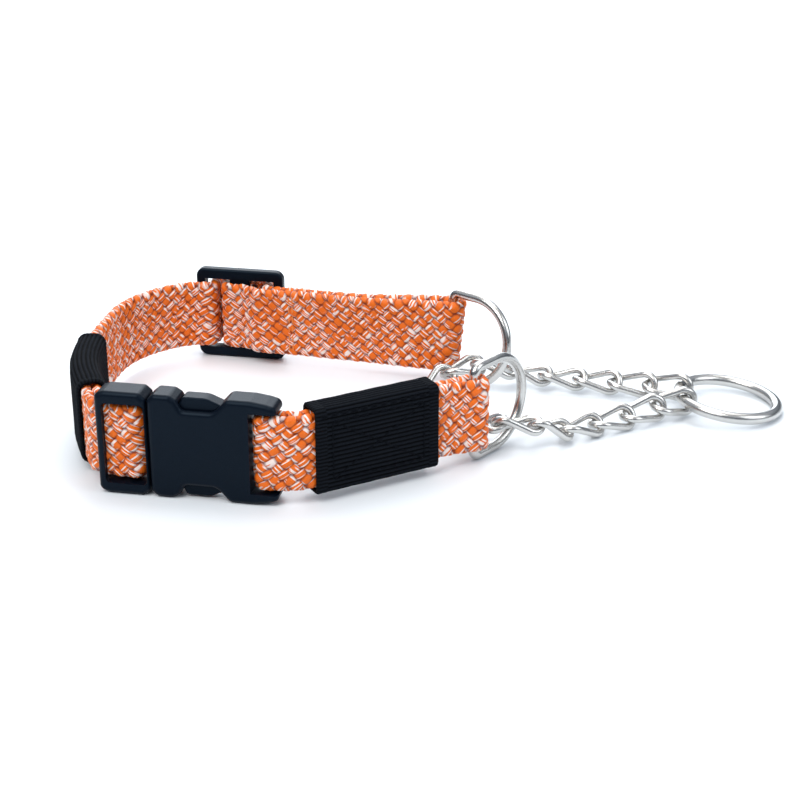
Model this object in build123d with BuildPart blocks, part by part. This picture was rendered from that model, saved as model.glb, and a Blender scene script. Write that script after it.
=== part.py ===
"""Martingale (half-check) dog collar: webbing loop with a side-release buckle, a slider
and two D-rings, closed by a loop of curb chain that carries the lead ring.

Millimetres, +Z up, lying on the plane z = 0. In plan the buckle is at the front (-Y),
the left bend at -X and the lead ring at +X.
"""
from build123d import *
import os
from math import asin, cos, degrees, radians, sin

os.makedirs("parts", exist_ok=True)

# ---------------------------------------------------------------- driving dimensions
STRAP_WIDTH = 19.4
STRAP_THICK = 2.4            # one layer of the braid
DOUBLE = 2 * STRAP_THICK + 0.2
CLEAR = 0.2                  # between webbing and the bar it goes round

# hardware that stands on the floor sets the height of everything else
HARDWARE_HEIGHT = 26.0
MID_Z = HARDWARE_HEIGHT / 2

# side-release buckle, in its own frame: u along it, w up it, v out from the neck
BUCKLE_CENTRE = (-58.15, -44.42)
BUCKLE_HEADING = -10.8       # degrees from +X, in plan
BUCKLE_THICK = 7.5
BUCKLE_RIM = 1.2             # rounding of the rims
HALF_W = HARDWARE_HEIGHT / 2
MALE_END = -22.2
FEMALE_END = 21.6
MOUTH = -9.4                 # the female half's mouth
HOLLOW = (12.6, 11.3, 2.4)   # its inside: far end, half height, half thickness
CUTOUT = (-2.4, 9.4)         # side cut-outs, from the front lobe to the rear lobe
WAIST = 9.5                  # half height between the cut-outs
SLOT = 10.2                  # half height of every strap slot
END_BAR = 20.0               # bar of the short strap
INNER_BAR = -14.4            # bar of the long strap
INNER_BAR_V = -0.8
BAR_R = 1.2
OUTER_BAR = 1.8              # width and thickness of the male half's outer bar
CROSSPIECE = (-10.2, -7.2)   # root of the guide and the prongs
PRONG_PIVOT = (-5.2, 8.2)
PRONG_ROOT_R = 1.7
PRONG_THICK = 4.0
PRONG_RIM = 0.4
GUIDE = (6.0, 2.3, 2.0)      # centre guide: end, half height, half thickness

# slider, in its own frame: u along it, v out from the neck
SLIDER_CENTRE = (-53.95, 44.78)
SLIDER_HEADING = -11.0
SLIDER_LENGTH = 25.0
SLIDER_THICK = 3.0
SLIDER_BAR = 2.6             # width of its end bars
CENTRE_BAR = (5.6, 2.4)      # width and thickness of its middle bar
WEAVE_U = 7.65               # where the strap crosses the slots
OVER_BAR = 5.1               # how far out the strap runs over the middle bar
UNDER_BAR = -2.9             # how far in it runs past the end bars

# D-rings of round wire: a straight bar, two legs and a half circle
D_WIRE = 2.5
D_RADIUS = 11.7              # wire's centre line
D_LEG = 8.0
D_CORNER = 2.0
FRONT_D_HEADING = 50.0
REAR_D_AT = (4.20, 28.48)
REAR_D_HEADING = -40.0
REAR_D_LEAN = 10.0           # its top leans outwards

# lead ring
RING_RADIUS = 13.0           # wire's centre line
RING_WIRE = 3.0
RING_CENTRE = (77.40, 6.18)
RING_RISE = 2.9              # its chain side is lifted by the links under it

# curb chain
LINK_WIRE = 1.9
LINK_LENGTH = 14.0
LINK_WIDTH = 9.0             # before twisting
LINK_TWIST = 42.0            # each end, about the link's length
LINK_CORNER = 2.8

# where the chain's links meet, from the lead ring through the front D-ring, across the
# inside of the collar, through the rear D-ring and back to the lead ring
CHAIN_ROUTE = [
    (66.58, 2.11, 4.29), (57.98, -1.70, 4.18), (49.52, -5.68, 3.18), (40.99, -9.68, 2.71),
    (32.80, -14.38, 3.09), (24.95, -18.57, 6.17), (15.61, -19.23, 7.06), (6.98, -15.76, 5.49),
    (1.42, -8.56, 3.02), (-1.85, 0.24, 2.29), (-1.56, 9.49, 3.94), (3.75, 16.98, 5.97),
    (12.00, 21.41, 6.62), (21.22, 22.32, 4.84), (30.32, 20.13, 3.71), (39.55, 18.23, 3.58),
    (48.65, 15.79, 3.64), (57.76, 13.37, 3.87), (66.77, 10.72, 4.36),
]
END_ROLL = 44.0              # the end links stand on edge to hold the ring
ROLL_STEP = 12.0             # and each link after them lies down by this much more
CROSSING_ROLL = {5: 12.0, 6: 12.0, 11: 6.0}     # links that climb over a D-ring

# sleeves over the sewn strap ends
SLEEVE_WALL = 0.9
SLEEVE_HEIGHT = 21.6
SLEEVE_BORE = (DOUBLE + 0.4, STRAP_WIDTH + 0.4)
SLEEVE_OUTER = SLEEVE_BORE[0] + 2 * SLEEVE_WALL
STITCH_BOX = (13.0, 15.0)
STITCH = 0.8
TAIL_U = 16.0                # seam of the long strap's tail, from the slider's middle

LOOP_R = BAR_R + CLEAR + STRAP_THICK         # outside of webbing folded round a plastic bar
D_LOOP_R = D_WIRE / 2 + CLEAR + STRAP_THICK  # and round a D-ring's bar


# ---------------------------------------------------------------- frames
def heading(angle):
    """Unit vector in plan at this many degrees from +X."""
    return Vector(cos(radians(angle)), sin(radians(angle)), 0)


def standing_plane(at, angle):
    """Upright plane: x along the heading, y up, z out from the collar's front side."""
    return Plane(origin=(at[0], at[1], MID_Z), x_dir=heading(angle), z_dir=heading(angle - 90))


def plan_point(plane, u, v):
    """Plan point at u along an upright plane and v in front of it."""
    point = plane.origin + plane.x_dir * u + plane.z_dir * v
    return (point.X, point.Y)


BUCKLE = standing_plane(BUCKLE_CENTRE, BUCKLE_HEADING)
SLIDER = standing_plane(SLIDER_CENTRE, SLIDER_HEADING)
FLOOR = Plane.XY
MIDDLE = Plane.XY.offset(MID_Z)


def slider_point(u, out):
    """Plan point beside the slider, moved out from the neck."""
    return plan_point(SLIDER, u, -out)


# ---------------------------------------------------------------- strap paths, in plan
# short front strap: end bar, bend, straight under the sleeve, front D-ring
with BuildLine() as front_path:
    front_exit = Line(plan_point(BUCKLE, END_BAR, 0), plan_point(BUCKLE, END_BAR + 2, 0))
    front_bend = JernArc(front_exit @ 1, front_exit % 1, 9.5, 40.02)
    front_straight = Line(front_bend @ 1, (front_bend @ 1) + (front_bend % 1) * 32.76)
    front_end = JernArc(front_straight @ 1, front_straight % 1, 110, -6)
FRONT_D_AT = front_end @ 1

# doubled start of the long strap: inner bar, left bend, side
with BuildLine() as left_path:
    left_exit = Line(plan_point(BUCKLE, INNER_BAR, INNER_BAR_V),
                     plan_point(BUCKLE, INNER_BAR - 6, INNER_BAR_V))
    left_bend = JernArc(left_exit @ 1, left_exit % 1, 4.5, -61.2)
    left_bare = Line(left_bend @ 1, (left_bend @ 1) + (left_bend % 1) * 5.1)
    left_covered = Line(left_bare @ 1, (left_bare @ 1) + (left_bare % 1) * 7.33)
    left_turn = JernArc(left_covered @ 1, left_covered % 1, 60, -18)
    left_side = Line(left_turn @ 1, (left_turn @ 1) + (left_turn % 1) * 6.62)
SIDE_END = left_side @ 1
SINGLE_START = SIDE_END + (left_side % 1) * 6

# single layer round the back and through the slider
with BuildLine() as back_path:
    FilletPolyline(
        SIDE_END, SINGLE_START, (-84.15, 35.58), slider_point(-13.4, UNDER_BAR),
        slider_point(-WEAVE_U, UNDER_BAR), slider_point(-WEAVE_U, OVER_BAR),
        slider_point(WEAVE_U, OVER_BAR), slider_point(WEAVE_U, UNDER_BAR),
        slider_point(12, UNDER_BAR), radius=[60, 30, 8, 2.6, 2.6, 2.6, 2.6])

# inner layer from the slider's middle bar to where both layers run together
with BuildLine() as fold_path:
    FilletPolyline(
        slider_point(-2, -2.6), slider_point(2, -2.6), slider_point(6.6, UNDER_BAR - 2.6),
        slider_point(12, UNDER_BAR - 2.6), radius=3)

# both layers to the rear D-ring
with BuildLine() as rear_path:
    FilletPolyline(
        slider_point(10.5, UNDER_BAR - 1.3), slider_point(18, UNDER_BAR - 1.3), (-22.20, 32.88),
        REAR_D_AT, radius=[40, 120])


# ---------------------------------------------------------------- female half
with BuildPart() as female_buckle:
    with BuildSketch(BUCKLE):
        with BuildLine():
            upper = [
                (MOUTH, 11.6), (MOUTH + 1.6, HALF_W), (CUTOUT[0] - 1.6, HALF_W),
                (CUTOUT[0], 12.0), (CUTOUT[0] + 1.4, WAIST), (CUTOUT[1] - 2.8, WAIST),
                (CUTOUT[1] + 0.4, HALF_W), (15.5, HALF_W), (19.0, 12.5), (FEMALE_END, 11.8),
            ]
            rounds = [0.9, 1.2, 1.6, 0.9, 1.2, 3.0, 2.0, 3.0, 3.0, 1.6]
            FilletPolyline(*upper, *[(u, -w) for u, w in reversed(upper)],
                           radius=rounds + rounds[::-1], close=True)
        make_face()
    extrude(amount=BUCKLE_THICK / 2, both=True)
    broad = female_buckle.faces().filter_by(BUCKLE).sort_by(Axis(BUCKLE.origin, BUCKLE.z_dir))
    fillet(broad[0].edges() + broad[-1].edges(), BUCKLE_RIM)
    # hollow for the prongs and the guide, open at the mouth and into the cut-outs
    with BuildSketch(BUCKLE):
        with Locations(((MOUTH - 1 + HOLLOW[0]) / 2, 0)):
            Rectangle(HOLLOW[0] - MOUTH + 1, 2 * HOLLOW[1])
    extrude(amount=HOLLOW[2], both=True, mode=Mode.SUBTRACT)
    # strap slot, open past the bar
    with BuildSketch(BUCKLE):
        with Locations((15.0 + 5, 0)):
            Rectangle(10, 2 * SLOT)
    extrude(amount=BUCKLE_THICK, both=True, mode=Mode.SUBTRACT)
    with BuildSketch(FLOOR.offset(MID_Z - SLOT - 0.8)):
        with Locations(plan_point(BUCKLE, END_BAR, 0)):
            Circle(BAR_R)
    extrude(amount=2 * SLOT + 1.6)
female_buckle.part.label = "female_buckle"
export_step(female_buckle.part, "parts/female_buckle.step")


# ---------------------------------------------------------------- male half and prongs
with BuildPart() as male_buckle:
    with BuildSketch(BUCKLE):
        with BuildLine():
            FilletPolyline(
                (MALE_END, 12.2), (MALE_END + 2.4, HALF_W), (MOUTH - 1.9, HALF_W),
                (MOUTH - 0.3, 11.6), (MOUTH - 0.3, -11.6), (MOUTH - 1.9, -HALF_W),
                (MALE_END + 2.4, -HALF_W), (MALE_END, -12.2),
                radius=[1.6, 2.0, 1.2, 0.9, 0.9, 1.2, 2.0, 1.6], close=True)
        make_face()
    extrude(amount=BUCKLE_THICK / 2, both=True)
    broad = male_buckle.faces().filter_by(BUCKLE).sort_by(Axis(BUCKLE.origin, BUCKLE.z_dir))
    fillet(broad[0].edges() + broad[-1].edges(), BUCKLE_RIM)
    # strap window behind the outer bar
    with BuildSketch(BUCKLE):
        with Locations(((MALE_END + OUTER_BAR + CROSSPIECE[0]) / 2, 0)):
            RectangleRounded(CROSSPIECE[0] - MALE_END - OUTER_BAR, 2 * SLOT, 1.0)
    extrude(amount=BUCKLE_THICK, both=True, mode=Mode.SUBTRACT)
    with BuildSketch(BUCKLE.offset(BUCKLE_THICK / 2 - OUTER_BAR)):
        with Locations((MALE_END + OUTER_BAR / 2, 0)):
            Rectangle(2 * OUTER_BAR, 2 * SLOT)
    extrude(amount=-BUCKLE_THICK, mode=Mode.SUBTRACT)
    # bar that carries the strap
    with BuildSketch(FLOOR.offset(MID_Z - SLOT - 0.8)):
        with Locations(plan_point(BUCKLE, INNER_BAR, INNER_BAR_V)):
            Circle(BAR_R)
    extrude(amount=2 * SLOT + 1.6)
    # crosspiece inside the mouth, and the centre guide
    with BuildSketch(BUCKLE):
        with Locations(((CROSSPIECE[0] + CROSSPIECE[1]) / 2, 0)):
            Rectangle(CROSSPIECE[1] - CROSSPIECE[0], 2 * (HOLLOW[1] - 0.3))
    extrude(amount=GUIDE[2], both=True)
    with BuildSketch(BUCKLE):
        with Locations(((CROSSPIECE[1] + GUIDE[0]) / 2 - 0.5, 0)):
            RectangleRounded(GUIDE[0] - CROSSPIECE[1] + 1, 2 * GUIDE[1], 1.0)
    extrude(amount=GUIDE[2], both=True)
male_buckle.part.label = "male_buckle"
export_step(male_buckle.part, "parts/male_buckle.step")

for name, side in (("upper_prong", 1), ("lower_prong", -1)):
    with BuildPart() as prong:
        with BuildSketch(BUCKLE):
            with BuildLine():
                arm = [
                    (PRONG_PIVOT[0] - 0.6, 9.8), (-1.7, 10.9), (-1.2, 12.5), (4.6, 12.5),
                    (9.2, 10.6), (11.0, 8.6), (9.6, 7.2), (3.0, 7.4), (PRONG_PIVOT[0], 6.6),
                ]
                FilletPolyline(*[(u, side * w) for u, w in arm],
                               radius=[0.5, 0.5, 1.2, 4.0, 2.0, 0.8, 0.5, 0.5, 0.5], close=True)
            make_face()
            with Locations((PRONG_PIVOT[0], side * PRONG_PIVOT[1])):
                Circle(PRONG_ROOT_R)
        extrude(amount=PRONG_THICK / 2, both=True)
        broad = prong.faces().filter_by(BUCKLE)
        fillet(broad.edges(), PRONG_RIM)
    prong.part.label = name
    export_step(prong.part, f"parts/{name}.step")


# ---------------------------------------------------------------- straps
def strap_layers(amount=STRAP_WIDTH / 2):
    """Raise the pending plan shape to the strap's width, evenly about its middle."""
    extrude(amount=amount, both=True)


with BuildPart() as front_strap:
    with BuildSketch(MIDDLE):
        trace(lines=front_path.line, line_width=DOUBLE)
        with Locations(plan_point(BUCKLE, END_BAR, 0)):
            Circle(LOOP_R)
            Circle(BAR_R + CLEAR, mode=Mode.SUBTRACT)
        with Locations(FRONT_D_AT):
            Circle(D_LOOP_R)
            Circle(D_WIRE / 2 + CLEAR, mode=Mode.SUBTRACT)
    strap_layers()
front_strap.part.label = "front_strap"
export_step(front_strap.part, "parts/front_strap.step")

REAR_BAR = Plane(
    origin=(REAR_D_AT[0], REAR_D_AT[1], D_RADIUS * cos(radians(REAR_D_LEAN)) + D_WIRE / 2),
    x_dir=heading(REAR_D_HEADING),
    z_dir=Vector(0, 0, 1).rotate(Axis((0, 0, 0), heading(REAR_D_HEADING)), -REAR_D_LEAN))

with BuildPart() as long_strap:
    # the fold round the rear D-ring leans with its bar
    with BuildSketch(REAR_BAR):
        Circle(D_LOOP_R)
    extrude(amount=STRAP_WIDTH, both=True)
    with BuildSketch(MIDDLE):
        with Locations(REAR_D_AT):
            Rectangle(30, 30)
    extrude(amount=STRAP_WIDTH / 2, both=True, mode=Mode.INTERSECT)
    with BuildSketch(MIDDLE):
        with Locations(plan_point(BUCKLE, INNER_BAR, INNER_BAR_V)):
            Circle(LOOP_R)
            Circle(BAR_R + CLEAR, mode=Mode.SUBTRACT)
    strap_layers()
    with BuildSketch(MIDDLE):
        trace(lines=left_path.line, line_width=DOUBLE)
        with Locations(plan_point(BUCKLE, INNER_BAR, INNER_BAR_V)):
            Circle(BAR_R + CLEAR, mode=Mode.SUBTRACT)
        trace(lines=rear_path.line, line_width=DOUBLE)
        trace(lines=back_path.line, line_width=STRAP_THICK)
        trace(lines=fold_path.line, line_width=STRAP_THICK)
    strap_layers()
    with BuildSketch(REAR_BAR):
        Circle(D_WIRE / 2 + CLEAR)
    extrude(amount=STRAP_WIDTH, both=True, mode=Mode.SUBTRACT)
    # fold round the slider's middle bar
    with BuildSketch(MIDDLE):
        with Locations(Location(slider_point(0, 0), SLIDER_HEADING)):
            RectangleRounded(CENTRE_BAR[0] + 2 * (CLEAR + STRAP_THICK),
                             CENTRE_BAR[1] + 2 * (CLEAR + STRAP_THICK), 2.6)
    strap_layers()
    with BuildSketch(MIDDLE):
        with Locations(Location(slider_point(0, 0), SLIDER_HEADING)):
            Rectangle(CENTRE_BAR[0] + 2 * CLEAR, CENTRE_BAR[1] + 2 * CLEAR)
    extrude(amount=STRAP_WIDTH, both=True, mode=Mode.SUBTRACT)
long_strap.part.label = "long_strap"
export_step(long_strap.part, "parts/long_strap.step")


# ---------------------------------------------------------------- sleeves and seams
with BuildPart() as right_sleeve:
    with BuildSketch(MIDDLE):
        trace(lines=front_straight, line_width=SLEEVE_OUTER)
    extrude(amount=SLEEVE_HEIGHT / 2, both=True)
    fillet(right_sleeve.edges().group_by(Axis.Z)[0] + right_sleeve.edges().group_by(Axis.Z)[-1], 0.6)
    with BuildSketch(MIDDLE):
        trace(lines=front_path.line, line_width=SLEEVE_BORE[0])
    extrude(amount=SLEEVE_BORE[1] / 2, both=True, mode=Mode.SUBTRACT)
right_sleeve.part.label = "right_sleeve"
export_step(right_sleeve.part, "parts/right_sleeve.step")

with BuildLine() as left_sleeve_path:
    add(left_covered)
    add(left_turn)
    add(left_side)
with BuildPart() as left_sleeve:
    with BuildSketch(MIDDLE):
        trace(lines=left_sleeve_path.line, line_width=SLEEVE_OUTER)
    extrude(amount=SLEEVE_HEIGHT / 2, both=True)
    fillet(left_sleeve.edges().group_by(Axis.Z)[0] + left_sleeve.edges().group_by(Axis.Z)[-1], 0.6)
    with BuildSketch(MIDDLE):
        trace(lines=left_path.line, line_width=SLEEVE_BORE[0])
        trace(lines=Edge.make_line(SIDE_END, SINGLE_START), line_width=SLEEVE_BORE[0])
    extrude(amount=SLEEVE_BORE[1] / 2, both=True, mode=Mode.SUBTRACT)
left_sleeve.part.label = "left_sleeve"
export_step(left_sleeve.part, "parts/left_sleeve.step")


# faces that carry stitching: outside of the right sleeve, inside of the long strap's tail
SLEEVE_MIDDLE = front_straight @ 0.5
SLEEVE_WAY = front_straight % 0.5
SLEEVE_SIDE = Vector(SLEEVE_WAY.Y, -SLEEVE_WAY.X)
SLEEVE_FACE = Plane(
    origin=SLEEVE_MIDDLE + SLEEVE_SIDE * (SLEEVE_OUTER / 2 + 0.02) + Vector(0, 0, MID_Z),
    x_dir=SLEEVE_WAY, z_dir=SLEEVE_SIDE)
TAIL_AT = slider_point(TAIL_U, UNDER_BAR - 1.3 - DOUBLE / 2 - 0.02)
TAIL_FACE = Plane(origin=(*TAIL_AT, MID_Z), x_dir=SLIDER.x_dir, z_dir=SLIDER.z_dir)

# box-and-cross stitching
with BuildPart() as right_sleeve_stitching:
    with BuildSketch(SLEEVE_FACE):
        Rectangle(STITCH_BOX[0], STITCH_BOX[1])
        Rectangle(STITCH_BOX[0] - 2 * STITCH, STITCH_BOX[1] - 2 * STITCH, mode=Mode.SUBTRACT)
        for rise in (1, -1):
            corner = Vector(STITCH_BOX[0] / 2 - 0.6, rise * (STITCH_BOX[1] / 2 - 0.6))
            trace(lines=Edge.make_line(corner * -1, corner), line_width=STITCH)
    extrude(amount=0.35)
right_sleeve_stitching.part.label = "right_sleeve_stitching"
export_step(right_sleeve_stitching.part, "parts/right_sleeve_stitching.step")

# seam that closes the tail near the slider
with BuildPart() as tail_seam:
    with BuildSketch(TAIL_FACE):
        Rectangle(1.0, STRAP_WIDTH - 3)
    extrude(amount=0.4)
tail_seam.part.label = "tail_seam"
export_step(tail_seam.part, "parts/tail_seam.step")


# ---------------------------------------------------------------- slider
with BuildPart() as slider:
    with BuildSketch(SLIDER):
        RectangleRounded(SLIDER_LENGTH, HARDWARE_HEIGHT, 2.4)
    extrude(amount=SLIDER_THICK / 2, both=True)
    fillet(slider.edges().filter_by(SLIDER), 0.7)
    with BuildSketch(SLIDER):
        Rectangle(SLIDER_LENGTH - 2 * SLIDER_BAR, 2 * SLOT)
    extrude(amount=SLIDER_THICK, both=True, mode=Mode.SUBTRACT)
    with BuildSketch(SLIDER):
        Rectangle(CENTRE_BAR[0], 2 * SLOT + 1)
    extrude(amount=CENTRE_BAR[1] / 2, both=True)
slider.part.label = "slider"
export_step(slider.part, "parts/slider.step")


# ---------------------------------------------------------------- D-rings
D_PLANES = {
    "front_d_ring": Plane(
        origin=(FRONT_D_AT.X, FRONT_D_AT.Y, D_RADIUS + D_WIRE / 2),
        x_dir=heading(FRONT_D_HEADING), z_dir=heading(FRONT_D_HEADING - 90)),
    "rear_d_ring": Plane(
        origin=REAR_BAR.origin, x_dir=REAR_BAR.x_dir, z_dir=REAR_BAR.y_dir * -1),
}
for name, plane in D_PLANES.items():
    with BuildPart() as d_ring:
        with BuildLine(plane):
            d_top = FilletPolyline((0, 0), (0, D_RADIUS), (D_LEG, D_RADIUS), radius=D_CORNER)
            ThreePointArc((D_LEG, D_RADIUS), (D_LEG + D_RADIUS, 0), (D_LEG, -D_RADIUS))
            FilletPolyline((D_LEG, -D_RADIUS), (0, -D_RADIUS), (0, 0), radius=D_CORNER)
        with BuildSketch(Plane(origin=d_top @ 0, z_dir=d_top % 0)):
            Circle(D_WIRE / 2)
        sweep()
    d_ring.part.label = name
    export_step(d_ring.part, f"parts/{name}.step")


# ---------------------------------------------------------------- lead ring
RING_TILT = degrees(asin(RING_RISE / (2 * RING_RADIUS)))
RING_PLANE = Plane(
    origin=(RING_CENTRE[0], RING_CENTRE[1], RING_WIRE / 2 + RING_RISE / 2),
    x_dir=(cos(radians(RING_TILT)), 0, -sin(radians(RING_TILT))),
    z_dir=(sin(radians(RING_TILT)), 0, cos(radians(RING_TILT))))
with BuildPart() as lead_ring:
    with BuildSketch(Plane(origin=RING_PLANE.origin, x_dir=RING_PLANE.x_dir,
                           z_dir=RING_PLANE.y_dir)):
        with Locations((RING_RADIUS, 0)):
            Circle(RING_WIRE / 2)
    revolve(axis=Axis(RING_PLANE.origin, RING_PLANE.z_dir))
lead_ring.part.label = "lead_ring"
export_step(lead_ring.part, "parts/lead_ring.step")


# ---------------------------------------------------------------- chain
def link_roll(number):
    """How far a link is rolled about its length, degrees."""
    last = len(CHAIN_ROUTE) - 2
    from_start = END_ROLL - ROLL_STEP * number
    from_end = END_ROLL - ROLL_STEP * (last - number)
    if from_start > 0:
        return -from_start
    return max(from_end, CROSSING_ROLL.get(number, 0.0))


def link_plane(number):
    """Plane of a link: x from the joint before it to the joint after it."""
    start = Vector(*CHAIN_ROUTE[number])
    end = Vector(*CHAIN_ROUTE[number + 1])
    along = (end - start).normalized()
    across = Vector(0, 0, 1).cross(along).normalized()
    roll = radians(link_roll(number))
    return Plane(origin=(start + end) * 0.5, x_dir=along,
                 z_dir=along.cross(across) * cos(roll) - across * sin(roll))


LINK_L = (LINK_LENGTH - LINK_WIRE) / 2
LINK_W = (LINK_WIDTH - LINK_WIRE) / 2
TWIST_ACROSS = LINK_W * cos(radians(LINK_TWIST))
TWIST_UP = LINK_W * sin(radians(LINK_TWIST))

# half a link, from the middle of one long side round one end to the middle of the other
with BuildPart() as half_link:
    with BuildLine() as half_wire:
        FilletPolyline(
            (0, TWIST_ACROSS, 0), (LINK_L, TWIST_ACROSS, TWIST_UP),
            (LINK_L, -TWIST_ACROSS, -TWIST_UP), (0, -TWIST_ACROSS, 0), radius=LINK_CORNER)
    with BuildSketch(Plane(origin=half_wire.line @ 0, z_dir=half_wire.line % 0)):
        Circle(LINK_WIRE / 2)
    sweep()

with BuildPart() as curb_link:
    add(half_link.part)
    add(half_link.part, rotation=(0, 0, 180))

for number in range(len(CHAIN_ROUTE) - 1):
    with BuildPart() as chain_link:
        with Locations(link_plane(number)):
            add(curb_link.part)
    name = f"chain_link_{number + 1:02d}"
    chain_link.part.label = name
    export_step(chain_link.part, f"parts/{name}.step")
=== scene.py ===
"""Looks of the martingale collar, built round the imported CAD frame. Metres, +Z up."""
import math

import bpy
import numpy as np
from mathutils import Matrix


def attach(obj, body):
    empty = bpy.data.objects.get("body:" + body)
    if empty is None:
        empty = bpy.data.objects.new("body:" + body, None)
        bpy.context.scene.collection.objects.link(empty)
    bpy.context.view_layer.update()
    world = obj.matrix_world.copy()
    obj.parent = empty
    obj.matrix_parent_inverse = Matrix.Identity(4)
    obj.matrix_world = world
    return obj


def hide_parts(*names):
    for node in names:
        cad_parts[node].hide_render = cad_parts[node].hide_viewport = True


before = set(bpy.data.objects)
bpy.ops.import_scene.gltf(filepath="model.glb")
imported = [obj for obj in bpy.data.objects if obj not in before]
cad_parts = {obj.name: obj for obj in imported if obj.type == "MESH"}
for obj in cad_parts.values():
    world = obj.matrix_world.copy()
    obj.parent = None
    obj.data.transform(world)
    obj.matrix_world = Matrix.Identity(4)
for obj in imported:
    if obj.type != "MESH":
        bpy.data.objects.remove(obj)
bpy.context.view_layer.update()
MM = 0.001

# ---------------------------------------------------------------- sizes, mm, as in the CAD
MID_Z = 13.0
STRAP_HALF = 9.7             # half width of the braid
LAYER = 2.5                  # spacing of two layers that lie together
TURN_R = 2.6                 # middle of a layer folded round a bar
BUCKLE_AT = (-58.15, -44.42)
BUCKLE_HEADING = -10.8       # degrees from +X, in plan
END_BAR = 20.0               # the short strap's bar, along the buckle
INNER_BAR = (-14.4, -0.8)    # the long strap's bar, along the buckle and out from the neck
SLIDER_AT = (-53.95, 44.78)
SLIDER_HEADING = -11.0
FRONT_D_AT = (8.80, -26.42)
REAR_D_AT = (4.20, 28.48)
REAR_LEAN = math.tan(math.radians(10.0))
REAR_LEAN_WAY = np.array([0.643, 0.766])

# short strap: corner after the end bar, then a straight run to the corner by the D-ring
FRONT_CORNER = 5.46
FRONT_RUN = 41.98
FRONT_HEADING = 29.22
FRONT_D_HEADING = 23.2
END_BAR_FOLD = 3.7           # the loop bulges past the end bar and fills the slot

# long strap: corner behind the buckle, slanting run under the left sleeve, then the side
LEFT_CORNER = 8.66
LEFT_RUN = 24.59
LEFT_HEADING = 108.0
SIDE_RUN = 16.12
BACK_CORNER = (-84.15, 35.58)
REAR_CORNER = (-22.2, 32.88)

# across the slider, out from the neck
UNDER_BAR = -2.9             # single layer past the end bars
OVER_BAR = 5.1               # single layer over the middle bar
WEAVE_U = 7.65               # where the strap crosses the slider's slots
BOTH_LAYERS = -4.2           # middle of the doubled run
FOLD_OUT = 4.2               # half length of the fold round the middle bar
FOLD_SIDE = 2.6

# sleeves
SLEEVE_HALF = (3.6, 10.8)    # half thickness and half height
RIB = 1.1
RIGHT_SLEEVE = (3.46, 32.76)  # start past the front corner, and length
LEFT_SLEEVE_START = 7.76     # past the left corner
SLEEVE_FACE_GAP = 0.02


# ---------------------------------------------------------------- plan geometry
ARC_POINTS = 13


def way(angle):
    """Unit vector in plan."""
    return np.array([math.cos(math.radians(angle)), math.sin(math.radians(angle))])


def beside(at, angle, along, out):
    """Plan point in a piece's own frame: along its heading and to the left of it."""
    return np.array(at) + way(angle) * along + way(angle + 90) * out


def on_buckle(u, out):
    """Plan point in the buckle's frame, out from the neck."""
    return beside(BUCKLE_AT, BUCKLE_HEADING, u, -out)


def on_slider(u, out):
    """Plan point in the slider's frame, out from the neck."""
    return beside(SLIDER_AT, SLIDER_HEADING, u, out)


def rounded(corners, radii, closed=False, step=0.4):
    """Points along a polyline whose corners are rounded, about a step apart."""
    corners = [np.array(c, float) for c in corners]
    count = len(corners)
    trail = []
    for i, (corner, radius) in enumerate(zip(corners, radii)):
        if not closed and i in (0, count - 1):
            trail.append(corner)
            continue
        before = corners[i - 1] - corner
        after = corners[(i + 1) % count] - corner
        before /= np.linalg.norm(before)
        after /= np.linalg.norm(after)
        half = math.acos(np.clip(before @ after, -1, 1)) / 2
        reach = radius / math.tan(half)
        start = corner + before * reach
        end = corner + after * reach
        middle = corner + (before + after) / np.linalg.norm(before + after) * radius / math.sin(half)
        sweep = math.pi - 2 * half
        for f in np.linspace(0, 1, ARC_POINTS):
            trail.append(middle + (math.sin((1 - f) * sweep) * (start - middle)
                                   + math.sin(f * sweep) * (end - middle)) / math.sin(sweep))
    trail = np.array(trail)
    if closed:
        trail = np.vstack([trail, trail[:1]])
    gaps = np.linalg.norm(np.diff(trail, axis=0), axis=1)
    trail = trail[np.r_[True, gaps > 1e-6]]
    reach = np.r_[0, np.cumsum(np.linalg.norm(np.diff(trail, axis=0), axis=1))]
    number = max(2, round(reach[-1] / step)) + 1
    even = np.linspace(0, reach[-1], number)
    return np.stack([np.interp(even, reach, trail[:, 0]), np.interp(even, reach, trail[:, 1])], 1)


def offset_corners(spine, out):
    """The spine's corners moved to its left, mitred."""
    spine = [np.array(p, float) for p in spine]
    moved = []
    for i, p in enumerate(spine):
        sides = []
        if i > 0:
            d = p - spine[i - 1]
            sides.append(np.array([-d[1], d[0]]) / np.linalg.norm(d))
        if i < len(spine) - 1:
            d = spine[i + 1] - p
            sides.append(np.array([-d[1], d[0]]) / np.linalg.norm(d))
        side = sum(sides)
        moved.append(p + side * out * len(sides) / (side @ side))
    return moved


class Track:
    """A plan path that gives points and sides by distance along it."""

    def __init__(self, points, closed=False):
        self.points = points
        self.closed = closed
        self.reach = np.r_[0, np.cumsum(np.linalg.norm(np.diff(points, axis=0), axis=1))]
        self.length = self.reach[-1]
        tangent = np.gradient(points, axis=0)
        if closed:
            tangent[0] = tangent[-1] = points[1] - points[-2]
        self.tangent = tangent / np.linalg.norm(tangent, axis=1, keepdims=True)

    def at(self, s):
        """(points, sides) at distances s; sides point to the left."""
        s = np.mod(s, self.length) if self.closed else np.clip(s, 0, self.length)
        p = np.stack([np.interp(s, self.reach, self.points[:, k]) for k in (0, 1)], -1)
        t = np.stack([np.interp(s, self.reach, self.tangent[:, k]) for k in (0, 1)], -1)
        t /= np.linalg.norm(t, axis=-1, keepdims=True)
        return p, np.stack([-t[..., 1], t[..., 0]], -1)


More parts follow.
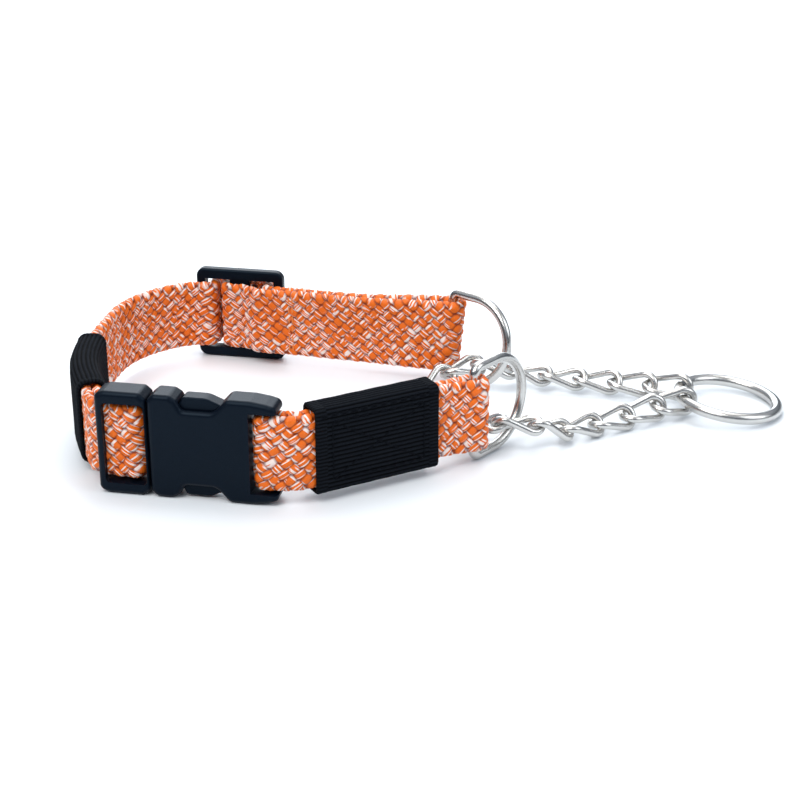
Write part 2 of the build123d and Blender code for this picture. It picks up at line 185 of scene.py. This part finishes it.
# ---------------------------------------------------------------- mesh helpers
def new_object(name, verts, faces, materials):
    """A smooth-shaded mesh object from millimetre vertices."""
    mesh = bpy.data.meshes.new(name)
    mesh.from_pydata((np.asarray(verts) * MM).tolist(), [], [list(map(int, f)) for f in faces])
    for material in materials:
        mesh.materials.append(material)
    mesh.polygons.foreach_set("use_smooth", [True] * len(mesh.polygons))
    mesh.update()
    obj = bpy.data.objects.new(name, mesh)
    bpy.context.scene.collection.objects.link(obj)
    return obj


def grid_faces(rows, columns, wrap_rows=False, wrap_columns=False, start=0):
    """Quads of a rows by columns grid of vertices."""
    r = np.arange(rows if wrap_rows else rows - 1)
    c = np.arange(columns if wrap_columns else columns - 1)
    a, b = np.meshgrid(r, c, indexing="ij")
    a2 = (a + 1) % rows
    b2 = (b + 1) % columns
    quads = np.stack([a * columns + b, a2 * columns + b, a2 * columns + b2, a * columns + b2], -1)
    return quads.reshape(-1, 4) + start


# ---------------------------------------------------------------- material helpers
def material(name):
    """A new node material and its shader."""
    m = bpy.data.materials.new(name)
    m.use_nodes = True
    return m, m.node_tree, m.node_tree.nodes["Principled BSDF"]


def node(tree, kind, **values):
    """A node with its settings and unlinked inputs filled in."""
    n = tree.nodes.new(kind)
    for key, value in values.items():
        if hasattr(n, key):
            setattr(n, key, value)
        else:
            n.inputs[key.replace("_", " ")].default_value = value
    return n


def link(tree, source, target):
    """Joins a node's output to an input."""
    tree.links.new(source, target)


def ramp(tree, factor, stops):
    """A colour ramp over a factor, from (position, colour) stops."""
    n = tree.nodes.new("ShaderNodeValToRGB")
    while len(n.color_ramp.elements) < len(stops):
        n.color_ramp.elements.new(0.5)
    for element, (position, colour) in zip(n.color_ramp.elements, stops):
        element.position = position
        element.color = (*colour, 1.0)
    link(tree, factor, n.inputs["Fac"])
    return n.outputs["Color"]


def math_node(tree, operation, a, b=None, c=None, clamp=False):
    """A maths node; each input is a number or a socket."""
    n = tree.nodes.new("ShaderNodeMath")
    n.operation = operation
    n.use_clamp = clamp
    for socket, value in zip(n.inputs, (a, b, c)):
        if value is None:
            continue
        if isinstance(value, (int, float)):
            socket.default_value = value
        else:
            link(tree, value, socket)
    return n.outputs[0]


def bump(tree, shader, height, strength, distance):
    """Bump from a height, into the shader's normal."""
    n = tree.nodes.new("ShaderNodeBump")
    n.inputs["Strength"].default_value = strength
    n.inputs["Distance"].default_value = distance
    link(tree, height, n.inputs["Height"])
    link(tree, n.outputs["Normal"], shader.inputs["Normal"])


def mix_colour(tree, factor, a, b, blend="MIX"):
    """Mixed colours; each of factor, a and b is a value or a socket."""
    n = tree.nodes.new("ShaderNodeMix")
    n.data_type = "RGBA"
    n.blend_type = blend
    for socket, value in zip((n.inputs[0], n.inputs[6], n.inputs[7]), (factor, a, b)):
        if isinstance(value, (int, float)):
            socket.default_value = value
        elif isinstance(value, tuple):
            socket.default_value = (*value, 1.0)
        else:
            link(tree, value, socket)
    return n.outputs[2]


# ---------------------------------------------------------------- materials
FILAMENTS = 9                # side by side in one strand
PALE_FROM = 0.580            # noise above which a filament is pale


def braid_material():
    """Glossy orange filament strands with pale filaments laid in them."""
    m, tree, shader = material("orange_braid")
    uv = tree.nodes.new("ShaderNodeUVMap")
    uv.uv_map = "strand"
    parts = tree.nodes.new("ShaderNodeSeparateXYZ")
    link(tree, uv.outputs["UV"], parts.inputs[0])
    along, across = parts.outputs["X"], parts.outputs["Y"]
    own = tree.nodes.new("ShaderNodeAttribute")
    own.attribute_name = "own"
    # each filament in a strand turns pale and back along its way
    filament = math_node(tree, "FLOOR", math_node(tree, "MULTIPLY", across, FILAMENTS - 0.001))
    place = tree.nodes.new("ShaderNodeCombineXYZ")
    link(tree, math_node(tree, "MULTIPLY", along, 0.11), place.inputs[0])
    step = math_node(tree, "MULTIPLY", filament, 3.7)
    lane = math_node(tree, "MULTIPLY_ADD", own.outputs["Fac"], 91.0, step)
    link(tree, lane, place.inputs[1])
    mix = node(tree, "ShaderNodeTexNoise", noise_dimensions="2D", Scale=1.0, Detail=1.0)
    link(tree, place.outputs[0], mix.inputs["Vector"])
    off_middle = math_node(tree, "ABSOLUTE", math_node(tree, "MULTIPLY_ADD", across, 2.0, -1.0))
    amount = math_node(tree, "MULTIPLY_ADD", off_middle, 0.07, mix.outputs["Fac"])
    pale = math_node(tree, "MULTIPLY", math_node(tree, "SUBTRACT", amount, PALE_FROM), 22.0, clamp=True)
    tint = node(tree, "ShaderNodeTexNoise", Scale=900.0, Detail=2.0)
    orange = ramp(tree, tint.outputs["Fac"],
                  [(0.3, (0.60, 0.078, 0.001)), (0.5, (0.78, 0.135, 0.003)), (0.72, (0.90, 0.22, 0.012))])
    colour = mix_colour(tree, pale, orange, (0.84, 0.71, 0.66))
    # painted shade: strands darkened where they dive under their neighbours and along their edges
    dive = tree.nodes.new("ShaderNodeAttribute")
    dive.attribute_name = "height"
    shade = ramp(tree, dive.outputs["Fac"],
                 [(0.0, (0.06, 0.03, 0.04)), (0.4, (0.36, 0.26, 0.28)), (0.75, (1, 1, 1))])
    link(tree, mix_colour(tree, 1.0, colour, shade, "MULTIPLY"), shader.inputs["Base Color"])
    wave = math_node(tree, "SINE", math_node(tree, "MULTIPLY", across, 56.5))
    grain = node(tree, "ShaderNodeTexNoise", Scale=2500.0, Detail=2.0)
    height = math_node(tree, "MULTIPLY_ADD", wave, 0.5, grain.outputs["Fac"])
    bump(tree, shader, height, 0.35, 0.00005)
    shader.inputs["Roughness"].default_value = 0.46
    shader.inputs["Specular IOR Level"].default_value = 0.28
    shader.inputs["Sheen Weight"].default_value = 0.03
    return m


def core_material():
    """Shadowed orange inside the braid."""
    m, tree, shader = material("orange_core")
    noise = node(tree, "ShaderNodeTexNoise", Scale=1200.0, Detail=2.0)
    link(tree, ramp(tree, noise.outputs["Fac"], [(0.3, (0.16, 0.03, 0.01)), (0.7, (0.34, 0.08, 0.03))]),
         shader.inputs["Base Color"])
    bump(tree, shader, noise.outputs["Fac"], 0.4, 0.0001)
    shader.inputs["Roughness"].default_value = 0.9
    return m


def cloth_material(name, low, high, scale=2600.0):
    """Woven or twisted yarn in one dark or bright colour."""
    m, tree, shader = material(name)
    noise = node(tree, "ShaderNodeTexNoise", Scale=scale, Detail=4.0, Roughness=0.7)
    link(tree, ramp(tree, noise.outputs["Fac"], [(0.3, low), (0.7, high)]), shader.inputs["Base Color"])
    bump(tree, shader, noise.outputs["Fac"], 0.5, 0.00012)
    shader.inputs["Roughness"].default_value = 0.85
    shader.inputs["Specular IOR Level"].default_value = 0.04
    shader.inputs["Sheen Weight"].default_value = 0.008
    return m


def paint_groove_shade(m):
    """Painted shade: darkens a ribbed cloth's base colour down in the grooves between its ribs."""
    tree = m.node_tree
    base = tree.nodes["Principled BSDF"].inputs["Base Color"]
    rib = tree.nodes.new("ShaderNodeAttribute")
    rib.attribute_name = "rib"
    shade = ramp(tree, rib.outputs["Fac"], [(0.2, (0.08, 0.08, 0.09)), (0.9, (1, 1, 1))])
    link(tree, mix_colour(tree, 1.0, base.links[0].from_socket, shade, "MULTIPLY"), base)


def plastic_material():
    """Moulded acetal: near-black, cool, softly shiny, with a fine spark-eroded grain."""
    m, tree, shader = material("black_plastic")
    fine = node(tree, "ShaderNodeTexNoise", Scale=2400.0, Detail=3.0)
    broad = node(tree, "ShaderNodeTexNoise", Scale=90.0, Detail=2.0)
    colour = ramp(tree, broad.outputs["Fac"],
                  [(0.3, (0.0014, 0.0032, 0.0072)), (0.7, (0.0022, 0.0046, 0.0100))])
    link(tree, colour, shader.inputs["Base Color"])
    link(tree, math_node(tree, "MULTIPLY_ADD", broad.outputs["Fac"], 0.12, 0.32), shader.inputs["Roughness"])
    bump(tree, shader, fine.outputs["Fac"], 0.2, 0.00005)
    shader.inputs["Specular IOR Level"].default_value = 0.13
    shader.inputs["Specular Tint"].default_value = (0.55, 0.78, 1.0, 1.0)
    return m


def nickel_material():
    """Bright nickel plate over drawn wire: slight waviness, hairlines and dull spots."""
    m, tree, shader = material("nickel")
    broad = node(tree, "ShaderNodeTexNoise", Scale=160.0, Detail=3.0)
    fine = node(tree, "ShaderNodeTexNoise", Scale=1500.0, Detail=3.0)
    link(tree, ramp(tree, broad.outputs["Fac"], [(0.3, (0.46, 0.45, 0.43)), (0.65, (0.66, 0.65, 0.635))]),
         shader.inputs["Base Color"])
    link(tree, math_node(tree, "MULTIPLY_ADD", fine.outputs["Fac"], 0.14, 0.08), shader.inputs["Roughness"])
    height = math_node(tree, "MULTIPLY_ADD", broad.outputs["Fac"], 3.0, fine.outputs["Fac"])
    bump(tree, shader, height, 0.12, 0.00012)
    shader.inputs["Metallic"].default_value = 1.0
    return m


BRAID = braid_material()
CORE = core_material()
GROSGRAIN = cloth_material("black_grosgrain", (0.0015, 0.0022, 0.0040), (0.0130, 0.0160, 0.0220))
paint_groove_shade(GROSGRAIN)
BLACK_THREAD = cloth_material("black_thread", (0.0010, 0.0014, 0.0026), (0.0060, 0.0075, 0.0110), 4000.0)
ORANGE_THREAD = cloth_material("orange_thread", (0.62, 0.12, 0.02), (0.95, 0.36, 0.12), 4000.0)
PLASTIC = plastic_material()
NICKEL = nickel_material()


# ---------------------------------------------------------------- braid
STRANDS = 12                 # each way round the flat tube
REPEAT = 3.65                # along the strap, from a strand's float to its neighbour's
SKEW = 0.27                  # the braid is pulled along as it climbs the strap
BASE_HALF = 0.35             # half thickness under the strands
WEAVE_RISE = 0.30            # how far a strand lifts over and dips under the next one
CROWN = 0.42                 # how much a strand is domed across
FLAT = STRAP_HALF - BASE_HALF - 2 * WEAVE_RISE - CROWN      # half height of each flat face
FOLD = math.pi * BASE_HALF                                  # round one edge of the base tube
ROUND_IT = 4 * FLAT + 2 * FOLD
ROWS_A_REPEAT = 8
ACROSS = np.linspace(-1, 1, 6)                              # vertices across a strand
CORE_RING = 24
CORE_STEP = 1.8
LEAN_FADE = (4, 22)          # full lean up to this far from the rear D-ring, then over this it fades


def tube_point(track, s, t, height, lean):
    """Point on a flat tube: s along it, t round it, height out from its base surface."""
    t = np.mod(t, ROUND_IT)
    front = t < 2 * FLAT
    top = (t >= 2 * FLAT) & (t < 2 * FLAT + FOLD)
    back = (t >= 2 * FLAT + FOLD) & (t < 4 * FLAT + FOLD)
    angle = np.where(top, (t - 2 * FLAT) / BASE_HALF, (t - 4 * FLAT - FOLD) / BASE_HALF + math.pi)
    angle = np.where(front, 0.0, np.where(back, math.pi, angle))
    z = np.where(front, t - FLAT, np.where(top, FLAT, -FLAT))
    z = np.where(back, FLAT - (t - 2 * FLAT - FOLD), z)
    reach = BASE_HALF + height
    side = np.cos(angle) * reach
    up = z + np.sin(angle) * reach
    plan, normal = track.at(s + SKEW * up)
    xy = plan + normal * side[..., None]
    if lean:
        near = np.linalg.norm(plan - np.array(REAR_D_AT), axis=-1)
        share = np.clip(1 - (near - LEAN_FADE[0]) / LEAN_FADE[1], 0, 1)
        share = share * share * (3 - 2 * share)
        xy = xy + REAR_LEAN_WAY * (up * REAR_LEAN * share)[..., None]
    return np.concatenate([xy, (up + MID_Z)[..., None]], -1)


def strand_rows(track, spacing):
    """(distances, wave, slope) along a strand; the wave is 1 where it lies over its neighbour."""
    repeats = round(track.length / REPEAT)
    s_line = np.linspace(0, track.length, repeats * ROWS_A_REPEAT + 1)
    wave = np.cos(2 * math.pi * repeats * s_line / track.length)
    return s_line, wave, spacing * repeats / track.length


def core_mesh(track, lean, start):
    """Vertices and faces of the plain tube under the strands."""
    rows = max(3, round(track.length / CORE_STEP))
    s, t = np.meshgrid(np.linspace(0, track.length, rows),
                       np.linspace(0, ROUND_IT, CORE_RING, endpoint=False), indexing="ij")
    verts = tube_point(track, s, t, np.full(s.shape, 0.02), lean).reshape(-1, 3)
    return verts, grid_faces(rows, CORE_RING, wrap_columns=True, start=start)


def add_strand_layers(mesh, uv, layers):
    """Writes the strands' UVs, and their point attributes by name."""
    loops = np.empty(len(mesh.loops), int)
    mesh.loops.foreach_get("vertex_index", loops)
    mesh.uv_layers.new(name="strand").data.foreach_set("uv", uv[loops].ravel())
    for label, values in layers.items():
        attribute = mesh.attributes.new(label, "FLOAT", "POINT")
        attribute.data.foreach_set("value", values)


def braid(name, track, lean=False):
    """Flat tubular braid, one over and one under, each strand its own ribbon."""
    spacing = ROUND_IT / STRANDS
    s_line, wave, slope = strand_rows(track, spacing)
    tilt = math.atan(slope)
    half_width = 1.06 * spacing * math.cos(tilt) / 2
    rows = len(s_line)
    columns = len(ACROSS)
    dome = CROWN * (1 - np.abs(ACROSS[None, :]) ** 2.4)
    edge_shade = 1 - 0.6 * np.abs(ACROSS[None, :]) ** 5
    strand_uv = np.stack([np.repeat(s_line[:, None] / math.cos(tilt), columns, 1),
                          np.repeat(ACROSS[None, :] / 2 + 0.5, rows, 0)], -1).reshape(-1, 2)
    verts = []
    faces = []
    own = []
    painted_seam_shade = []
    rng = np.random.default_rng(7)
    for family in (1, -1):
        weave = (family * np.sign(wave) * np.abs(wave) ** 0.7)[:, None]
        narrow = half_width * (0.94 + 0.06 * weave)
        height = WEAVE_RISE * (1 + weave) + dome
        for k in range(STRANDS):
            s = s_line[:, None] - family * ACROSS[None, :] * narrow * math.sin(tilt)
            t = k * spacing + family * s_line[:, None] * slope + ACROSS[None, :] * narrow * math.cos(tilt)
            faces.append(grid_faces(rows, columns, start=len(verts) * rows * columns))
            verts.append(tube_point(track, s, t, height, lean).reshape(-1, 3))
            own.append(np.full(rows * columns, rng.random()))
            # painted shade mask, stored as the 'height' attribute: low where a strand dips under its
            # neighbour and at its edges
            painted_seam_shade.append(((weave + 1) / 2 * edge_shade).ravel())
    strand_faces = np.vstack(faces)
    core_verts, core_faces = core_mesh(track, lean, len(verts) * rows * columns)
    obj = new_object(name, np.vstack(verts + [core_verts]), np.vstack([strand_faces, core_faces]),
                     [BRAID, CORE])
    slots = np.r_[np.zeros(len(strand_faces), int), np.ones(len(core_faces), int)]
    obj.data.polygons.foreach_set("material_index", slots)
    bare = np.zeros(len(core_verts))
    uv = np.vstack([strand_uv] * (2 * STRANDS) + [np.zeros((len(core_verts), 2))])
    add_strand_layers(obj.data, uv, {"own": np.concatenate(own + [bare]),
                                     "height": np.concatenate(painted_seam_shade + [bare])})
    return obj


def front_corner():
    """Where the short strap bends after the buckle."""
    return on_buckle(END_BAR, 0) + way(BUCKLE_HEADING) * FRONT_CORNER


def front_loop():
    """Short strap: a closed loop round the buckle's end bar and the front D-ring."""
    end_bar = on_buckle(END_BAR, 0)
    first = front_corner()
    second = first + way(FRONT_HEADING) * FRONT_RUN
    spine = [end_bar, first, second, np.array(FRONT_D_AT)]
    out = offset_corners(spine, -LAYER / 2)
    back = offset_corners(spine, LAYER / 2)
    corners = [
        beside(end_bar, BUCKLE_HEADING, -END_BAR_FOLD, -TURN_R), out[1], out[2],
        beside(FRONT_D_AT, FRONT_D_HEADING, TURN_R, -TURN_R),
        beside(FRONT_D_AT, FRONT_D_HEADING, TURN_R, TURN_R), back[2], back[1],
        beside(end_bar, BUCKLE_HEADING, -END_BAR_FOLD, TURN_R),
    ]
    return rounded(corners, [2.3, 9, 30, 2.4, 2.4, 30, 6, 2.3], closed=True)


def side_spine():
    """Middle of the doubled start of the long strap, from the inner bar to the sleeve's end."""
    bar = on_buckle(*INNER_BAR)
    first = bar - way(BUCKLE_HEADING) * LEFT_CORNER
    second = first + way(LEFT_HEADING) * LEFT_RUN
    return [bar, first, second, second + np.array([0, SIDE_RUN])]


def rear_spine():
    """Middle of the doubled end of the long strap, from the slider to the rear D-ring."""
    return [on_slider(10.5, BOTH_LAYERS), on_slider(18, BOTH_LAYERS), np.array(REAR_CORNER),
            np.array(REAR_D_AT)]


def side_corners():
    """Long strap from its end in the left sleeve, round the inner bar and back past the sleeve."""
    bar, _, _, side_end = side_spine()
    inner = offset_corners(side_spine(), -LAYER / 2)
    outer = offset_corners(side_spine(), LAYER / 2)
    to_left = BUCKLE_HEADING + 180
    return [
        (inner[3] - np.array([0, 2.0]), 0), (inner[2], 40), (inner[1], 2.6),
        (beside(bar, to_left, -TURN_R, -TURN_R), 2.3), (beside(bar, to_left, -TURN_R, TURN_R), 2.3),
        (outer[1], 5.5), (outer[2], 60), (outer[3] - np.array([0, 2.0]), 10),
        (side_end + np.array([0, 6.0]), 30), (np.array(BACK_CORNER), 30),
    ]


def slider_corners():
    """The single layer's weave under, over and under the slider's bars."""
    return [
        (on_slider(-13.4, UNDER_BAR), 8), (on_slider(-WEAVE_U, UNDER_BAR), 2.6),
        (on_slider(-WEAVE_U, OVER_BAR), 2.6), (on_slider(WEAVE_U, OVER_BAR), 2.6),
        (on_slider(WEAVE_U, UNDER_BAR), 2.6),
    ]


def rear_corners():
    """Out to the rear D-ring, round it and back, and round the slider's middle bar."""
    rear = rear_spine()
    out = offset_corners(rear, LAYER / 2)
    back = offset_corners(rear, -LAYER / 2)
    last = rear[3] - rear[2]
    angle = math.degrees(math.atan2(last[1], last[0]))
    return [
        (out[1], 40), (out[2], 100),
        (beside(REAR_D_AT, angle, TURN_R, TURN_R), 2.4), (beside(REAR_D_AT, angle, TURN_R, -TURN_R), 2.4),
        (back[2], 100), (back[1], 40), (on_slider(6.6, -5.5), 3), (on_slider(2, -2.7), 3),
        (on_slider(-FOLD_OUT, -2.7), 2.3), (on_slider(-FOLD_OUT, FOLD_SIDE), 2.3),
        (on_slider(FOLD_OUT, FOLD_SIDE), 2.3), (on_slider(FOLD_OUT, -0.6), 0),
    ]


def long_run():
    """The long strap's single layer, from one hidden end to the other."""
    corners, radii = zip(*side_corners(), *slider_corners(), *rear_corners())
    return rounded(corners, radii)


front_strap = braid("front_strap_braid", Track(front_loop(), closed=True))
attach(front_strap, "band")
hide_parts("front_strap")

long_strap = braid("long_strap_braid", Track(long_run()), lean=True)
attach(long_strap, "band")
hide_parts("long_strap")


# ---------------------------------------------------------------- sleeves
RIB_COLUMNS = 6              # mesh columns to a rib
RIB_RISE = 0.30
GROOVE = 0.24                # the grooves' depth below the sleeve's nominal surface
HEM_PITCH = 0.9              # of the hem's twill, round the sleeve
HEM_RISE = 0.14
WALL = 0.85
LINING_STEP = 1.5


def sleeve_section(corner):
    """(points, normals, distances) round a sleeve's rounded oblong section."""
    half_thick, half_high = SLEEVE_HALF
    quarter = np.linspace(0, math.pi / 2, 7)
    outline = []
    for q, (sx, sz) in enumerate(((1, 1), (-1, 1), (-1, -1), (1, -1))):
        for a in quarter + q * math.pi / 2:
            outline.append((sx * (half_thick - corner) + corner * math.cos(a),
                            sz * (half_high - corner) + corner * math.sin(a)))
    outline = np.array(outline + outline[:1])
    reach = np.r_[0, np.cumsum(np.linalg.norm(np.diff(outline, axis=0), axis=1))]
    columns = round(reach[-1] / RIB) * RIB_COLUMNS
    even = np.linspace(0, reach[-1], columns, endpoint=False)
    section = np.stack([np.interp(even, reach, outline[:, k]) for k in (0, 1)], 1)
    normal = np.roll(section, -1, 0) - np.roll(section, 1, 0)
    normal = np.stack([normal[:, 1], -normal[:, 0]], 1)
    return section, normal / np.linalg.norm(normal, axis=1, keepdims=True), even


def sleeve(name, track, corner, hem):
    """Ribbed grosgrain wrapped round a strap: ribs run along it, a folded hem at each end."""
    section, normal, even = sleeve_section(corner)
    columns = len(section)
    ribbing = np.abs(np.sin(np.pi * np.arange(columns) / RIB_COLUMNS))
    s = np.r_[0, 0.25, np.linspace(0.5, track.length - 0.5, round(track.length / 0.35)),
              track.length - 0.25, track.length]
    rows = len(s)
    edge = np.minimum(s, track.length - s)
    in_hem = np.clip((hem - edge) / 0.25, 0, 1)
    lip = -0.35 * np.clip(1 - edge / 0.5, 0, 1) ** 2
    cross_rib = np.abs(np.sin(np.pi * even / HEM_PITCH))
    pull = 0.10 * np.sin(s[:, None] * 0.9 + section[None, :, 1] * 0.35)
    height = (RIB_RISE * ribbing[None, :] * (1 - in_hem[:, None]) - GROOVE
              + in_hem[:, None] * (GROOVE + HEM_RISE * cross_rib[None, :]) + lip[:, None] + 0.25 * pull)
    plan, side = track.at(s)
    out = section[None, :, 0] + normal[None, :, 0] * height
    up = section[None, :, 1] + normal[None, :, 1] * height
    xy = plan[:, None, :] + side[:, None, :] * out[..., None]
    outer = np.concatenate([xy, (up + MID_Z)[..., None]], -1)
    # the lining runs back through the sleeve, from its far end to its near one
    inset = section - normal * WALL
    lining = np.linspace(track.length, 0, max(2, round(track.length / LINING_STEP)))
    plan, side = track.at(lining)
    xy = plan[:, None, :] + side[:, None, :] * inset[None, :, :1]
    up = np.broadcast_to(inset[None, :, 1:] + MID_Z, xy.shape[:2] + (1,))
    skin = np.concatenate([outer, np.concatenate([xy, up], -1)])
    faces = grid_faces(rows + len(lining), columns, wrap_rows=True, wrap_columns=True)
    obj = new_object(name, skin.reshape(-1, 3), faces, [GROSGRAIN])
    # painted shade: these values darken the grooves between ribs, and 0.3 darkens the lining inside
    relief = ribbing[None, :] * (1 - in_hem[:, None]) + cross_rib[None, :] * in_hem[:, None]
    attribute = obj.data.attributes.new("rib", "FLOAT", "POINT")
    attribute.data.foreach_set("value", np.r_[relief.ravel(), np.full(len(lining) * columns, 0.3)])
    return obj


THREAD_R = 0.17
STITCH = 2.1
STITCH_GAP = 0.45
STITCH_RINGS = 7
STITCH_SIDES = 8


def thread(name, lines, colour):
    """Rows of stitches: each line is its start, its end and the cloth's normal."""
    verts = []
    faces = []
    around = np.linspace(0, 2 * math.pi, STITCH_SIDES, endpoint=False)
    for start, end, normal in lines:
        start = np.array(start, float)
        end = np.array(end, float)
        normal = np.array(normal, float)
        length = np.linalg.norm(end - start)
        along = (end - start) / length
        flat = np.cross(normal, along)
        number = max(1, round(length / (STITCH + STITCH_GAP)))
        for i in range(number):
            a = (i + 0.5) * length / number - STITCH / 2
            base = len(verts)
            for f in np.linspace(0, 1, STITCH_RINGS):
                sunk = -0.28 * (2 * f - 1) ** 4
                size = THREAD_R * (0.55 + 0.45 * math.sin(math.pi * f) ** 0.5)
                middle = start + along * (a + f * STITCH) + normal * (sunk + 0.08)
                for angle in around:
                    verts.append(middle + flat * math.cos(angle) * size * 1.3
                                 + normal * math.sin(angle) * size)
            faces.extend(grid_faces(STITCH_RINGS, STITCH_SIDES, wrap_columns=True, start=base).tolist())
    return new_object(name, verts, faces, [colour])


right_start = front_corner() + way(FRONT_HEADING) * RIGHT_SLEEVE[0]
right_end = right_start + way(FRONT_HEADING) * RIGHT_SLEEVE[1]
right_track = Track(rounded([right_start, right_end], [0, 0]))
right_sleeve = sleeve("right_sleeve_ribs", right_track, corner=1.5, hem=2.8)
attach(right_sleeve, "band")
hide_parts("right_sleeve")

left_spine = side_spine()
left_start = left_spine[1] + way(LEFT_HEADING) * LEFT_SLEEVE_START
left_track = Track(rounded([left_start, left_spine[2], left_spine[3]], [0, 60, 0], step=0.3))
left_sleeve = sleeve("left_sleeve_ribs", left_track, corner=2.6, hem=1.6)
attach(left_sleeve, "band")
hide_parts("left_sleeve")


# ---------------------------------------------------------------- stitching
def on_face(middle, angle, out):
    """(function from along and up to a point on an upright face, the face's normal)."""
    side = way(angle - 90)
    base = np.array(middle) + side * out

    def place(along, up):
        p = base + way(angle) * along
        return (p[0], p[1], MID_Z + up)

    return place, (side[0], side[1], 0.0)


def box_and_cross(place, normal, half_long, half_high):
    """Lines of a stitched oblong and its two diagonals."""
    corners = [(-half_long, -half_high), (half_long, -half_high), (half_long, half_high),
               (-half_long, half_high)]
    pairs = [(corners[i], corners[(i + 1) % 4]) for i in range(4)]
    pairs += [(corners[0], corners[2]), (corners[1], corners[3])]
    return [(place(*a), place(*b), normal) for a, b in pairs]


sleeve_middle = right_track.at(np.array([right_track.length / 2]))[0][0]
place, normal = on_face(sleeve_middle, FRONT_HEADING, SLEEVE_HALF[0] + SLEEVE_FACE_GAP)
right_lines = box_and_cross(place, normal, 12.2, 7.4)
right_lines += [(place(-15.6, up), place(15.6, up), normal) for up in (8.7, 9.3)]
right_stitches = thread("right_sleeve_stitches", right_lines, BLACK_THREAD)
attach(right_stitches, "band")
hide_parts("right_sleeve_stitching")

place, normal = on_face(on_slider(16.0, BOTH_LAYERS), SLIDER_HEADING, 2.45)
seam_lines = [(place(x, -8.2), place(x, 8.2), normal) for x in (-0.5, 0.5)]
seam = thread("tail_seam_stitches", seam_lines, ORANGE_THREAD)
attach(seam, "band")
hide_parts("tail_seam")


# ---------------------------------------------------------------- CAD nodes that stay
RIM_WIDTH = 0.00045          # metres
RIM_ANGLE = math.radians(32)


def soften_edges(obj):
    """Rounds a moulded piece's sharp edges with a modifier; its own mesh stays as it is."""
    mod = obj.modifiers.new("rims", "BEVEL")
    mod.width = RIM_WIDTH
    mod.segments = 3
    mod.limit_method = "ANGLE"
    mod.angle_limit = RIM_ANGLE
    mod.harden_normals = True


MOULDED = ("female_buckle", "male_buckle", "upper_prong", "lower_prong", "slider")
for name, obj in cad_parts.items():
    if name in MOULDED or name.startswith("chain_link") or name.endswith("_ring"):
        obj.data.materials.clear()
        obj.data.materials.append(PLASTIC if name in MOULDED else NICKEL)
        for polygon in obj.data.polygons:
            polygon.use_smooth = True
        if name in MOULDED:
            soften_edges(obj)


# ---------------------------------------------------------------- floor, light, camera
FLOOR_HALF = 6.0             # metres
FLOOR_DROP = 0.0001
LAMPS = (                    # name, place, aim, size, watts, colour
    ("key", (-0.35, -0.45, 0.75), (0, 0, 0), 0.55, 5.6, (1.0, 0.985, 0.96)),
    ("fill", (0.7, -0.25, 0.5), (0, 0, 0.01), 0.5, 2.4, (0.92, 0.96, 1.0)),
    ("top", (0.05, 0.35, 0.8), (0, 0, 0), 0.6, 3.6, (1.0, 1.0, 1.0)),
    ("rim", (-0.05, 0.9, 0.42), (0, 0, 0.01), 0.7, 5.0, (0.90, 0.95, 1.0)),
)
CAMERA_AT = (-0.0092, -0.4076, 0.1782)
CAMERA_TILT = 67.0           # degrees up from straight down
CAMERA_LENS = 76.5


def add_floor():
    """Plain pale floor."""
    half = FLOOR_HALF / MM
    floor = new_object("floor", [(-half, -half, 0), (half, -half, 0), (half, half, 0), (-half, half, 0)],
                       [(0, 1, 2, 3)], [])
    floor.location.z = -FLOOR_DROP
    m, tree, shader = material("floor_paper")
    noise = node(tree, "ShaderNodeTexNoise", Scale=3.0)
    link(tree, ramp(tree, noise.outputs["Fac"], [(0.3, (0.80, 0.84, 0.88)), (0.7, (0.82, 0.855, 0.89))]),
         shader.inputs["Base Color"])
    shader.inputs["Roughness"].default_value = 0.6
    floor.data.materials.append(m)


def add_sky():
    """Studio surround: bright overhead and dim at the horizon, which gives the metal its contrast."""
    world = bpy.data.worlds.new("studio")
    bpy.context.scene.world = world
    world.use_nodes = True
    tree = world.node_tree
    where = tree.nodes.new("ShaderNodeTexCoord")
    split = tree.nodes.new("ShaderNodeSeparateXYZ")
    link(tree, where.outputs["Generated"], split.inputs[0])
    sky = ramp(tree, math_node(tree, "MULTIPLY_ADD", split.outputs["Z"], 0.5, 0.5),
               [(0.0, (0.5, 0.52, 0.56)), (0.5, (0.10, 0.115, 0.14)), (0.62, (0.16, 0.18, 0.21)),
                (0.78, (0.62, 0.68, 0.76)), (1.0, (1.0, 1.0, 1.0))])
    link(tree, sky, tree.nodes["Background"].inputs["Color"])
    tree.nodes["Background"].inputs["Strength"].default_value = 0.78


def add_lamps():
    """Soft area lights, each turned to its aim."""
    for name, at, aim, width, power, tint in LAMPS:
        data = bpy.data.lights.new(name, "AREA")
        data.size = width
        data.energy = power
        data.color = tint
        lamp = bpy.data.objects.new(name, data)
        lamp.location = at
        direction = np.array(aim) - np.array(at)
        flat = math.hypot(direction[0], direction[1])
        lamp.rotation_euler = (math.atan2(flat, -direction[2]), 0,
                               math.atan2(-direction[0], direction[1]))
        bpy.context.scene.collection.objects.link(lamp)


def add_camera():
    """Camera at the photograph's angle."""
    data = bpy.data.cameras.new("camera")
    data.lens = CAMERA_LENS
    data.sensor_width = 36.0
    camera = bpy.data.objects.new("camera", data)
    camera.location = CAMERA_AT
    camera.rotation_euler = (math.radians(CAMERA_TILT), 0, 0)
    bpy.context.scene.collection.objects.link(camera)
    bpy.context.scene.camera = camera


add_floor()
add_sky()
add_lamps()
add_camera()
bpy.context.scene.view_settings.view_transform = "Standard"
